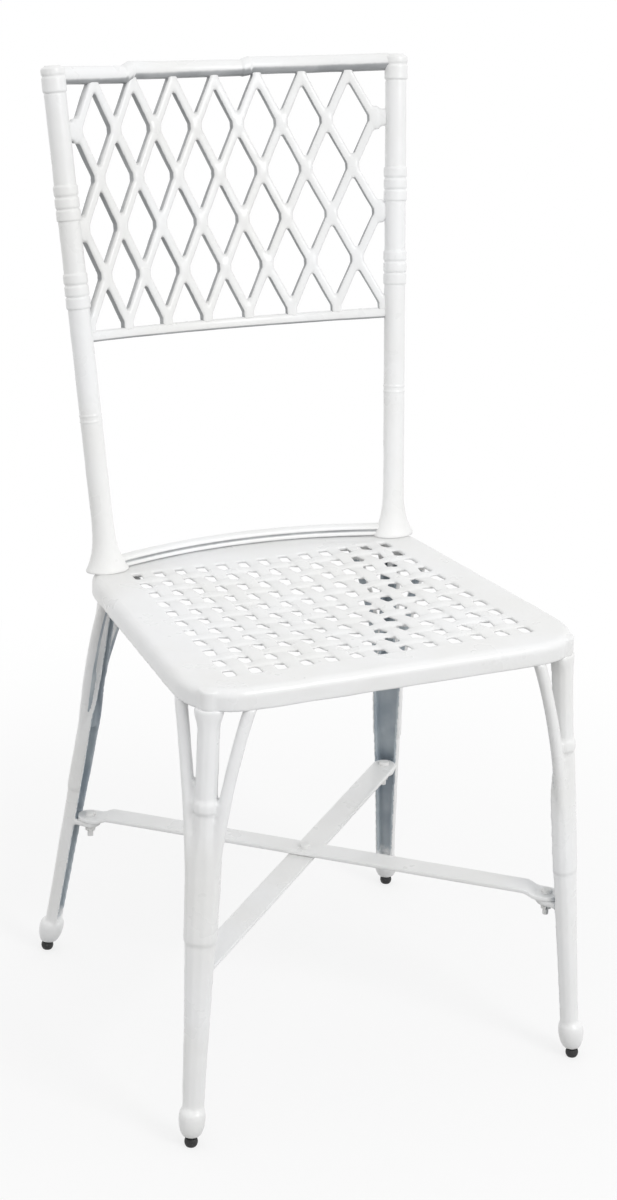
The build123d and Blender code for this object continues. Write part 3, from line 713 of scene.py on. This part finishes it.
def add_weave(seat):
    """Strips from front to rear and from side to side."""
    thick = weave_thickness / 2
    half_strip_across = (hole_pitch_across - hole_width) / 2
    half_strip_along = (hole_pitch_along - hole_length) / 2
    for column in range(hole_columns - 1):
        over = 1 if column % 2 == 0 else -1
        across = column - (hole_columns - 2) / 2
        rings = []
        for row in spread(row_start - strip_lap, row_end + strip_lap, 12 * hole_rows):
            centre = weave_point(across, row, strip_lift(row, hole_rows - 1, over))
            fan = seat_half(centre.y - seat_front) / seat_half(seat_depth / 2)
            half = half_strip_across * fan + strip_ease
            rings.append(oval(centre, right, upright, half, thick, strip_squareness))
        seat.loft(rings)
    for row in range(hole_rows - 1):
        over = -1 if row % 2 == 0 else 1
        rings = []
        for column in spread(-column_end - strip_lap, column_end + strip_lap, 12 * hole_columns):
            place = column + (hole_columns - 1) / 2
            centre = weave_point(column, row + 0.5, strip_lift(place, hole_columns - 1, over))
            rings.append(oval(centre, rearward, upright, half_strip_along, thick, strip_squareness))
        seat.loft(rings)


def make_seat():
    seat = Solid()
    edge = seat_outline()
    normals = inward(edge)
    add_rim(seat, edge, normals)
    add_border(seat, [point + normal * (seat_edge_round + 1) for point, normal in zip(edge, normals)])
    add_weave(seat)
    low = boss_clearance
    high = seat_apron - boss_drop
    boss = [(boss_bore, low), (boss_radius, low), (boss_radius, high), (boss_bore, high)]
    for leg in leg_lines:
        seat.turned(boss, leg.point(leg_top, -boss_inset, 0), upright, 24)
    piece = seat.build("seat")
    fuse(piece, voxel=1.5, passes=4)
    roughen(piece, size=28.0, height=0.35)
    settle(piece, white_paint, "seat_casting")


# Legs
class LegLine:
    """One leg's centre line."""

    def __init__(self, name, side, top, foot, tips, turn=0.0):
        self.name = name
        self.top = Vector((top.x * side, top.y, 0))
        self.foot = Vector((foot.x * side, foot.y, 0))
        self.tips = [Vector((tip.x * side, tip.y, tip.z)) for tip in tips]
        self.outward = (self.foot - self.top).normalized()
        self.beside = upright.cross(self.outward)
        self.facing = Matrix.Rotation(-side * radians(turn), 3, "Z") @ self.outward
        self.flank = upright.cross(self.facing)

    def centre(self, height):
        splay = max(1 - height / leg_top, 0.0) ** leg_flare
        return self.top.lerp(self.foot, splay) + upright * height

    def point(self, height, out, beside):
        return self.centre(height) + self.outward * out + self.beside * beside

    def section(self, height, out, beside):
        """A point of the channel, which may be turned on the leg's line."""
        return self.centre(height) + self.facing * out + self.flank * beside

    def local(self, point):
        """How far a point lies out of, and beside, the channel's middle."""
        gap = point - self.centre(point.z)
        return gap.dot(self.facing), gap.dot(self.flank)


def side_tip(depth):
    return Vector((seat_half(depth) - arm_edge_inset, seat_front + depth, leg_top))


front_top = Vector((seat_front_width / 2 - front_leg_inset_side, seat_front + front_leg_inset_front, 0))
rear_top = Vector((post_base_half, seat_front + post_depth, 0))
front_foot = front_top + Vector((front_foot_out, -front_foot_forward, 0))
rear_foot = rear_top + Vector((rear_foot_out, rear_foot_back, 0))
front_tips = [
    Vector((front_top.x - arm_spread, seat_front + arm_edge_inset, leg_top)),
    side_tip(front_leg_inset_front + arm_spread),
]
rear_tip_across = rear_top.x - arm_spread
rear_tips = [
    side_tip(post_depth - arm_spread),
    Vector((rear_tip_across, seat_front + rear_edge(rear_tip_across) - arm_edge_inset, leg_top)),
]
leg_lines = [
    LegLine("front_left", -1, front_top, front_foot, front_tips),
    LegLine("front_right", 1, front_top, front_foot, front_tips),
    LegLine("rear_left", -1, rear_top, rear_foot, rear_tips, rear_leg_turn),
    LegLine("rear_right", 1, rear_top, rear_foot, rear_tips, rear_leg_turn),
]


def leg_share(height):
    share = (height - foot_height) / (leg_shoulder_height - foot_height)
    return min(max(share, 0.0), 1.0)


def leg_width(height):
    return mix(leg_foot_width, leg_shoulder_width, leg_share(height) ** leg_taper)


def leg_reach(height):
    return mix(leg_foot_depth, leg_depth, leg_share(height)) / 2


def channel_width(height):
    """Width of a leg's channel, which narrows past the shoulder to the stalk."""
    past = height - leg_shoulder_height + shoulder_below
    width = mix(leg_width(height), stalk_width, smooth(past / (shoulder_below + shoulder_above)))
    return width + stalk_flare * smooth((height - leg_top + stalk_width) / stalk_width)


def node_swell(height):
    """A ring at the upper bamboo node; a step and a line at the lower one."""
    half = high_node_length / 2
    ring = ridge(height, high_node - half, high_node + half, 0.0, high_node_swell, 3.0)
    past = height - low_node
    step = low_node_swell * smooth(past / 2 + 1) * max(1 - max(past, 0) / low_node_fade, 0.0)
    line = 1 - smooth(abs(past) / 2.4)
    return ring + step - line


def channel_ring(leg, height):
    """A channel's section: soft facets outside, open inside."""
    reach = leg_reach(height)
    width = channel_width(height)
    swell = node_swell(height)
    half = width / 2 + swell
    hollow = width / 2 - leg_wall
    section = [(-reach, half), (-reach / 2, half)]
    for angle in spread(0, pi, 6):
        section.append(((reach + swell) * sin(angle) ** channel_roundness, half * cos(angle)))
    section += [(-reach / 2, -half), (-reach, -half)]
    section.append((-reach, -hollow))
    for angle in spread(pi, 0, 9):
        section.append(((reach - leg_wall) * sin(angle) ** channel_roundness, hollow * cos(angle)))
    section.append((-reach, hollow))
    return [leg.section(height, out, beside) for out, beside in section]


def solid_ring(leg, height):
    """A channel's section without its hollow."""
    reach = leg_reach(height)
    half = channel_width(height) / 2
    section = [(-reach, half)]
    for angle in spread(0, pi, 13):
        section.append((reach * sin(angle) ** channel_roundness, half * cos(angle)))
    section.append((-reach, -half))
    return [leg.section(height, out, beside) for out, beside in section]


def arm_path(leg, tip):
    """Points on the arc that leaves a leg's flank and ends under the apron."""
    flank = 1 if leg.local(Vector((tip.x, tip.y, arm_start)))[1] > 0 else -1
    start = leg.section(arm_start, 0, flank * (leg_width(arm_start) - arm_diameter) / 2)
    chord = tip - start
    aim = chord.normalized()
    aim = (aim + (upright - aim) * arm_upright).normalized()
    turn = aim.angle(chord)
    radius = chord.length / (2 * sin(turn))
    beside = (chord - aim * chord.dot(aim)).normalized()
    points = []
    for angle in spread(-arm_run_in * turn, (2 + arm_run_out) * turn, 22):
        points.append(start + aim * (radius * sin(angle)) + beside * (radius * (1 - cos(angle))))
    return points


def bare_share(leg, point, normal):
    """1 on the unpainted inside of a leg and on the backs of its arms, 0 where it is painted."""
    low = foot_height + 4
    if not low < point.z < leg_top - stalk_flange:
        return 0.0
    out, beside = leg.local(point)
    reach = leg_reach(point.z)
    half = channel_width(point.z) / 2
    facing = -normal.dot(leg.facing)
    if abs(beside) > half + 1:
        return smooth((facing - 0.62) / 0.25)
    within = -reach - 1.5 < out < reach - 2.2
    cavity = abs(beside) < half - leg_wall + 1.2 and facing > -0.5
    lip = abs(beside) < half - 1 and facing > 0.5
    if within and (cavity or lip):
        return mix(bare_least, 1.0, smooth((point.z - low) / bare_fade))
    return 0.0


def add_arms(casting, leg, leg_end):
    """Two round arms, cut off level inside the seat's apron."""
    thick = arm_diameter / 2
    for tip in leg.tips:
        path = arm_path(leg, tip)
        rings = []
        for i, point in enumerate(path):
            along = path[min(i + 1, len(path) - 1)] - path[max(i - 1, 0)]
            along.normalize()
            out = (leg.outward - along * leg.outward.dot(along)).normalized()
            ring = oval(point, out, along.cross(out), thick * 0.95, thick, arm_squareness)
            rings.append([Vector((p.x, p.y, min(p.z, leg_end))) for p in ring])
        casting.loft(rings)


def add_foot(casting, leg):
    """A cup and a collar that follow the leg's slant, with an upright bore for the glide."""
    collar = foot_height - foot_ring
    cup = [(foot_bottom_radius, foot_clearance)]
    for share in spread(0.1, 1, 8):
        radius = mix(foot_radius - 0.5, foot_bottom_radius, (1 - share) ** 3.0)
        cup.append((radius, mix(foot_clearance, collar, share)))
    cup += [
        (foot_radius - 1.6, collar + 0.5),
        (foot_radius - 0.8, collar + 1.3),
        (foot_radius - 1.0, foot_height - 0.8),
        (foot_top_radius - 0.6, foot_height + 2),
        (0.5, foot_height + 2),
    ]
    bore_end = foot_clearance + foot_bore_depth
    bore = [(0.5, bore_end), (foot_bore, bore_end), (foot_bore, foot_clearance)]
    rings = []
    for angle in spread(0, 2 * pi, 37)[:-1]:
        outward = Vector((cos(angle), sin(angle), 0))
        ring = [leg.centre(height) + outward * radius for radius, height in cup]
        ring += [leg.foot + outward * radius + upright * height for radius, height in bore]
        rings.append(ring)
    casting.loft(rings, closed=True)


def add_lug(casting, leg):
    """The lug under the stretcher's end."""
    hole_at = -leg_reach(lug_height) - lug_reach
    outline = [(lug_root, lug_radius)]
    for angle in spread(pi / 2, 3 * pi / 2, 13):
        outline.append((hole_at + lug_radius * cos(angle), lug_radius * sin(angle)))
    outline.append((lug_root, -lug_radius))
    rings = []
    for height in spread(lug_height - lug_thickness, lug_height - 0.1, 3):
        ring = [leg.point(lug_height, out, beside) for out, beside in outline]
        rings.append([Vector((p.x, p.y, height)) for p in ring])
    casting.loft(rings)


def make_leg(leg):
    casting = Solid()
    leg_end = leg_top + 1.5  # the seat's apron hides the last of it
    leg_start = foot_height - 0.5
    casting.loft([channel_ring(leg, height) for height in spread(leg_start, leg_end, 200)])
    casting.loft([solid_ring(leg, height) for height in spread(leg_start, foot_height + 4, 3)])
    casting.loft([solid_ring(leg, height) for height in spread(leg_top - stalk_flange, leg_end, 4)])
    add_arms(casting, leg, leg_end)
    add_foot(casting, leg)
    add_lug(casting, leg)
    piece = casting.build("leg_casting_" + leg.name)
    fuse(piece, voxel=1.5, passes=4)
    roughen(piece, size=22.0, height=0.3)
    mark_bare_and_shade(piece, lambda point, normal: bare_share(leg, point, normal))
    settle(piece, leg_paint, "leg_" + leg.name)


# Back posts
def ridge(height, low, high, base, peak, edge):
    """Radius of a ring with soft edges that stands on a pole."""
    if height <= low or height >= high:
        return base
    rise = smooth(min(height - low, high - height) / edge)
    return mix(base, peak, rise)


def pole_radius(height, length):
    """Radius of a post, with its node, its bindings and its cap."""
    radius = post_radius + post_swell
    half = post_node_length / 2
    node = lower_rail_height * post_node_share
    for low in (node - half, node):
        radius = max(radius, ridge(height, low, low + half, post_radius, post_node_radius, 3))
    for share in binding_shares:
        start = lower_rail_height + panel_rise * share
        for turn in range(binding_turns):
            low = start + turn * binding_turn
            base, edge = (post_radius, 1.2) if turn == 0 else (post_radius + post_swell, 2.4)
            radius = max(radius, ridge(height, low, low + binding_turn, base, binding_radius, edge))
    cap = length - post_cap_height
    if height > cap:
        radius = ridge(height, cap, length + post_cap_height, post_radius, post_cap_radius, 2.0)
        groove = abs(height - cap - cap_groove_share * post_cap_height)
        radius -= cap_groove_depth * (1 - smooth(groove / cap_groove_half))
        radius -= cap_round * smooth((height - length + cap_round) / cap_round) ** 2
    return radius


def make_post(name, side):
    foot = back_foot + right * side * post_half(0)
    top = back_foot + right * side * post_half(post_length) + up * post_length
    along = (top - foot).normalized()
    length = (top - foot).length
    across = (right - along * along.x).normalized()
    beyond = along.cross(across)
    heights = [0.0, 0.8, 1.8, 3, 5, 8, 12, 17, 23, 30, 38, 46]
    steps = int((length - post_foot_height) / post_step) + 1
    heights += [post_foot_height + i * post_step for i in range(steps)]
    heights.append(length)
    rings = []
    for height in heights:
        share = max(1 - height / post_foot_height, 0.0)
        flare = mix(share, share**3, post_foot_curve)
        pinch = 1 - post_foot_pinch * (1 - smooth(height / 1.8))
        radius = pole_radius(height, length)
        wide = mix(radius, post_foot_length / 2, flare) * pinch
        deep = mix(radius, post_foot_width / 2, flare) * pinch
        level = smooth(share)
        wide_axis = across.lerp(right, level).normalized()
        deep_axis = beyond.lerp(rearward, level).normalized()
        centre = foot + along * height + upright * 0.3 * share
        rings.append(oval(centre, wide_axis, deep_axis, wide, deep, 2.0, 40))
    piece = skinned(name + "_pole", rings, size=26.0, height=0.25)
    settle(piece, white_paint, name)


# Rails
class RailArc:
    """The middle line of a bowed rail."""

    def __init__(self, middle, radius, upward, behind, half):
        self.centre = middle - behind * radius
        self.radius = radius
        self.upward = upward
        self.behind = behind
        self.half = half

    def frame(self, across):
        """A point on the line, and the direction out of its bow."""
        angle = asin(across / self.radius)
        outward = right * sin(angle) + self.behind * cos(angle)
        return self.centre + outward * self.radius, outward


def rail_middle(height):
    return back_foot + up * height + panel_aft * bow(post_half(height))


def back_arc(height):
    return RailArc(rail_middle(height), back_radius, panel_up, panel_aft, post_half(height))


def make_top_rail():
    arc = back_arc(top_rail_height)
    ends = (-arc.half, *top_rail_nodes, arc.half)
    rings = []
    for across in spread(-arc.half + top_rail_end, arc.half - top_rail_end, 420):
        point, outward = arc.frame(across)
        tall = 0.0
        rise = 0.0
        for i, (first, last) in enumerate(top_rail_segments):
            share = (across - ends[i]) / (ends[i + 1] - ends[i])
            begun = smooth((across - ends[i]) / top_rail_node_length + 0.5)
            ended = smooth((across - ends[i + 1]) / top_rail_node_length + 0.5)
            part = (begun if i > 0 else 1.0) - (ended if i < len(top_rail_nodes) else 0.0)
            tall += mix(first[0], last[0], share) * part
            rise += mix(first[1], last[1], share) * part
        deep = top_rail_half_depth
        for node in top_rail_nodes:
            half = top_rail_node_length / 2
            swell = ridge(across - node, -half, half, 0.0, top_rail_node_swell, 3.0)
            tall += swell
            deep += swell
        rings.append(oval(point + arc.upward * rise, arc.upward, outward, tall, deep, 2.0, 32))
    piece = skinned("top_rail_tube", rings, size=30.0, height=0.35)
    # Painted shade: the rail turns grey on its underside.
    mark_bare_and_shade(piece, facing((-0.3, -0.5, -0.8), 0.35, 0.75))
    settle(piece, white_with_painted_shade, "back_top_rail")


def make_lower_rail():
    arc = back_arc(lower_rail_height)
    rings = []
    for across in spread(-arc.half + lower_rail_end, arc.half - lower_rail_end, 120):
        point, outward = arc.frame(across)
        rings.append(oval(point, arc.upward, outward, lower_rail_tall / 2, lower_rail_deep / 2, 3.0, 24))
    piece = skinned("lower_rail_bar", rings, size=26.0, height=0.25)
    # Painted shade: the rail turns grey on its underside.
    mark_bare_and_shade(piece, facing((0, -0.4, -0.9), 0.45, 0.8))
    settle(piece, white_with_painted_shade, "back_lower_rail")


def make_base_rail():
    """A low rail with a groove along its front and its back."""
    rail_bow = seat_depth - base_rail_inset - post_depth
    radius = (post_base_half**2 + rail_bow**2) / (2 * rail_bow)
    arc = RailArc(back_foot + rearward * rail_bow, radius, upright, rearward, post_base_half)
    half = base_rail_deep / 2
    side = [
        (half - 1.6, 0.3),
        (half - 0.4, 0.9),
        (half, 2.6),
        (half - 0.2, 4.6),
        (half - 1.3, 5.6),
        (half - 2.6, 6.1),
        (half - 2.5, 6.6),
        (half - 1.5, 7.2),
        (half - 1.1, 8.6),
        (half - 1.8, 10.4),
        (half - 3.6, 11.6),
        (half - 5.6, base_rail_tall),
    ]
    section = side + [(-out, height) for out, height in reversed(side)]
    rings = []
    for across in spread(-arc.half + base_rail_end, arc.half - base_rail_end, 120):
        point, outward = arc.frame(across)
        rings.append([point + outward * out + upright * height for out, height in section])
    piece = skinned("base_rail_bar", rings, size=30.0, height=0.2)
    groove = seat_height + 6.2

    def painted_groove_shade(point, normal):
        """Painted shade in the grooves and along the joint with the seat."""
        in_groove = 1 - smooth(abs(point.z - groove) / 2.2)
        at_joint = 1 - smooth((point.z - seat_height) / 2.8)
        return max(in_groove, 0.9 * at_joint)

    mark_bare_and_shade(piece, painted_groove_shade)
    settle(piece, white_with_painted_shade, "back_base_rail")


# Lattice
sheet_foot = rail_middle(lower_rail_height)
lattice_top = panel_rise * cos(panel_tilt)
lattice_pitch = 2 * post_half(lower_rail_height) / (lattice_columns + 2 * lattice_side_bay)
lattice_row_pitch = (lattice_top - lattice_first_row - lattice_last_row) / lattice_half_rows


def panel_frame(across, height):
    """A point on the bowed panel and the direction out of its back."""
    drop = sqrt(back_radius**2 - across**2)
    outward = (right * across + panel_aft * drop) / back_radius
    return sheet_foot + panel_up * height + panel_aft * (drop - back_radius) + right * across, outward


def lattice_run(panel, start, end, half_width):
    """A strip of the lattice between two points of the panel."""
    rings = []
    for share in spread(0, 1, 8):
        point, outward = panel_frame(*mixed(start, end, share))
        before, _ = panel_frame(*mixed(start, end, share - 0.02))
        after, _ = panel_frame(*mixed(start, end, share + 0.02))
        beside = (after - before).normalized().cross(outward)
        rings.append(oval(point, beside, outward, half_width, lattice_depth / 2, lattice_squareness, 20))
    panel.loft(rings)


def lattice_pad(panel, across, height):
    """A rounded pad over a crossing."""
    point, outward = panel_frame(across, height)
    beside = panel_up.cross(outward)
    rings = []
    for angle in spread(-lattice_pad_arc, lattice_pad_arc, 9):
        level = point + panel_up * (lattice_pad_height / 2 * sin(angle) / sin(lattice_pad_arc))
        wide = lattice_pad_width / 2 * cos(angle) ** lattice_pad_roundness
        deep = lattice_pad_depth / 2 * cos(angle) ** lattice_pad_roundness
        rings.append(oval(level, beside, outward, wide, deep, lattice_pad_squareness, 20))
    panel.loft(rings)


def make_lattice():
    panel = Solid()
    half = lattice_strip / 2
    for row in range(lattice_half_rows + 1):
        height = lattice_first_row + row * lattice_row_pitch
        for step in range(-lattice_columns, lattice_columns + 1):
            if (step + row) % 2 == 0:
                continue
            here = (step * lattice_pitch / 2, height)
            for turn in (-1, 1):
                if row < lattice_half_rows and abs(step + turn) <= lattice_columns:
                    there = ((step + turn) * lattice_pitch / 2, height + lattice_row_pitch)
                    lattice_run(panel, here, there, half)
            if 0 < row < lattice_half_rows:
                lattice_pad(panel, *here)
            if row == lattice_half_rows:
                lattice_run(panel, here, (here[0], lattice_top - 1), half * lattice_top_widening)
            if row == 0:
                lattice_run(panel, here, (here[0], 3), half * lattice_foot_widening)
            if abs(step) == lattice_columns:
                side = 1 if step > 0 else -1
                post = side * (post_half(lower_rail_height + height) - post_radius + 2)
                lattice_run(panel, here, (post, height), lattice_pad_height / 2 - 3)
    piece = panel.build("lattice_panel")
    fuse(piece, voxel=1.35, passes=3)
    roughen(piece, size=20.0, height=0.3)
    # Painted shade: the strips turn grey on their sides that face left and down.
    mark_bare_and_shade(piece, facing((-0.95, 0.15, -0.27), 0.4, 0.8))
    settle(piece, white_with_painted_shade, "back_lattice")


# Stretchers
lugs = {}
for leg_line in leg_lines:
    lugs[leg_line.name] = leg_line.point(lug_height, -leg_reach(lug_height) - lug_reach, 0)


def make_bar(name, start, end, stepped):
    gap = end - start
    along = gap.normalized()
    beside = upright.cross(along)
    middle = start.lerp(end, 0.5)
    reach = gap.length / 2
    half = bar_width / 2
    stations = [reach + half * sin(angle) for angle in spread(0, 1.5, 9)]
    stations = [-x for x in reversed(stations)] + spread(-reach + 1, reach - 1, 120) + stations
    rings = []
    for station in stations:
        past = max(abs(station) - reach, 0.0)
        width = sqrt(max(half**2 - past**2, 0.2))
        rise = 0.0
        if stepped:
            rise = bar_thickness * smooth((reach - bar_end_flat - abs(station)) / bar_ramp)
        centre = middle + along * station + upright * (rise + bar_thickness / 2 + bar_play)
        rings.append(oval(centre, beside, upright, width, bar_thickness / 2 - bar_play, bar_squareness, 32))
    piece = skinned(name + "_bar", rings, size=40.0, height=0.12)
    settle(piece, white_paint, name)


make_seat()
for leg_line in leg_lines:
    make_leg(leg_line)
make_post("back_post_left", -1)
make_post("back_post_right", 1)
make_top_rail()
make_lower_rail()
make_base_rail()
make_lattice()
make_bar("stretcher_lower", lugs["front_left"], lugs["rear_right"], False)
make_bar("stretcher_upper", lugs["rear_left"], lugs["front_right"], True)


# Fasteners and glides keep their CAD shapes, with softened edges
def finish_node(name, material, edge):
    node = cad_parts[name]
    for slot in node.material_slots:
        slot.material = material
    bevel = node.modifiers.new("edges", "BEVEL")
    bevel.width = edge * METRE
    bevel.segments = 2
    bevel.limit_method = "ANGLE"
    bevel.angle_limit = radians(40)


replaced = ("stretcher_upper", "stretcher_lower")
for node_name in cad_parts:
    if node_name.startswith("glide_pad"):
        finish_node(node_name, black_nylon, 0.6)
    elif node_name.startswith("stretcher") and node_name not in replaced:
        finish_node(node_name, chipped_paint, 0.3)
    elif "screw" in node_name or node_name.startswith("glide_stud"):
        finish_node(node_name, zinc_plate, 0.25)


# Floor, light and camera
def make_floor():
    """A pale floor that keeps the chair's shadow and fades to white further out."""
    mesh = bpy.data.meshes.new("floor")
    reach = 14.0
    corners = [(-reach, -reach, 0), (reach, -reach, 0), (reach, reach, 0), (-reach, reach, 0)]
    mesh.from_pydata(corners, [], [(0, 1, 2, 3)])
    floor = add_object("floor", mesh)
    shade = Shader("pale_floor")
    seen = shade.seen()
    diffuse = shade.node("ShaderNodeBsdfDiffuse", {"Color": shade.blend(seen, *floor_shades)})
    glow = shade.node("ShaderNodeEmission")
    away = shade.node("ShaderNodeVectorMath", {0: shade.place}, operation="LENGTH").outputs["Value"]
    white = shade.ramp(away, low=0.35, high=1.1, start=0.7)
    inputs = {0: shade.maths("MULTIPLY", seen, white), 1: diffuse.outputs[0], 2: glow.outputs[0]}
    blend = shade.node("ShaderNodeMixShader", inputs)
    shade.feed(shade.tree.nodes["Material Output"].inputs["Surface"], blend.outputs[0])
    mesh.materials.append(shade.material)


def make_world(overhead, around):
    """White to the eye; its light comes mostly from all round, as in a light tent."""
    world = bpy.data.worlds.new("studio")
    world.use_nodes = True
    sky = Nodes(world.node_tree)
    place = sky.node("ShaderNodeTexCoord").outputs["Generated"]
    height = sky.node("ShaderNodeSeparateXYZ", {0: place}).outputs["Z"]
    inputs = {"Value": sky.maths("POWER", height, 2.0), "To Min": around, "To Max": overhead}
    light = sky.node("ShaderNodeMapRange", inputs).outputs["Result"]
    strength = sky.node("ShaderNodeMix", {"Factor": sky.seen(), "A": light, "B": 1.0})
    background = sky.tree.nodes["Background"]
    sky.feed(background.inputs["Color"], (1, 1, 1, 1))
    sky.feed(background.inputs["Strength"], strength.outputs["Result"])
    bpy.context.scene.world = world


def make_lamp(name, place, target, size, power):
    lamp = bpy.data.lights.new(name, "AREA")
    lamp.shape = "DISK"
    lamp.size = size
    lamp.energy = power
    holder = add_object(name, lamp)
    holder.location = place
    aim = Vector(target) - Vector(place)
    holder.rotation_euler = aim.to_track_quat("-Z", "Y").to_euler()


def make_camera():
    camera = bpy.data.cameras.new("camera")
    camera.lens = 72.16
    camera.sensor_width = 36.0
    holder = add_object("camera", camera)
    across = Vector((0.9015, -0.4313, 0.0359))
    above = Vector((0.1235, 0.3357, 0.9338))
    behind = Vector((-0.4148, -0.8374, 0.3559))
    turn = Matrix((across, above, behind)).transposed().to_4x4()
    holder.matrix_world = Matrix.Translation((-0.9941, -2.0293, 1.3002)) @ turn
    bpy.context.scene.camera = holder


make_floor()
make_world(overhead=0.4, around=1.4)
make_lamp("key", place=(1.0, -2.5, 2.1), target=(0, 0, 0.5), size=1.2, power=27)
make_camera()
bpy.context.scene.view_settings.view_transform = "Standard"
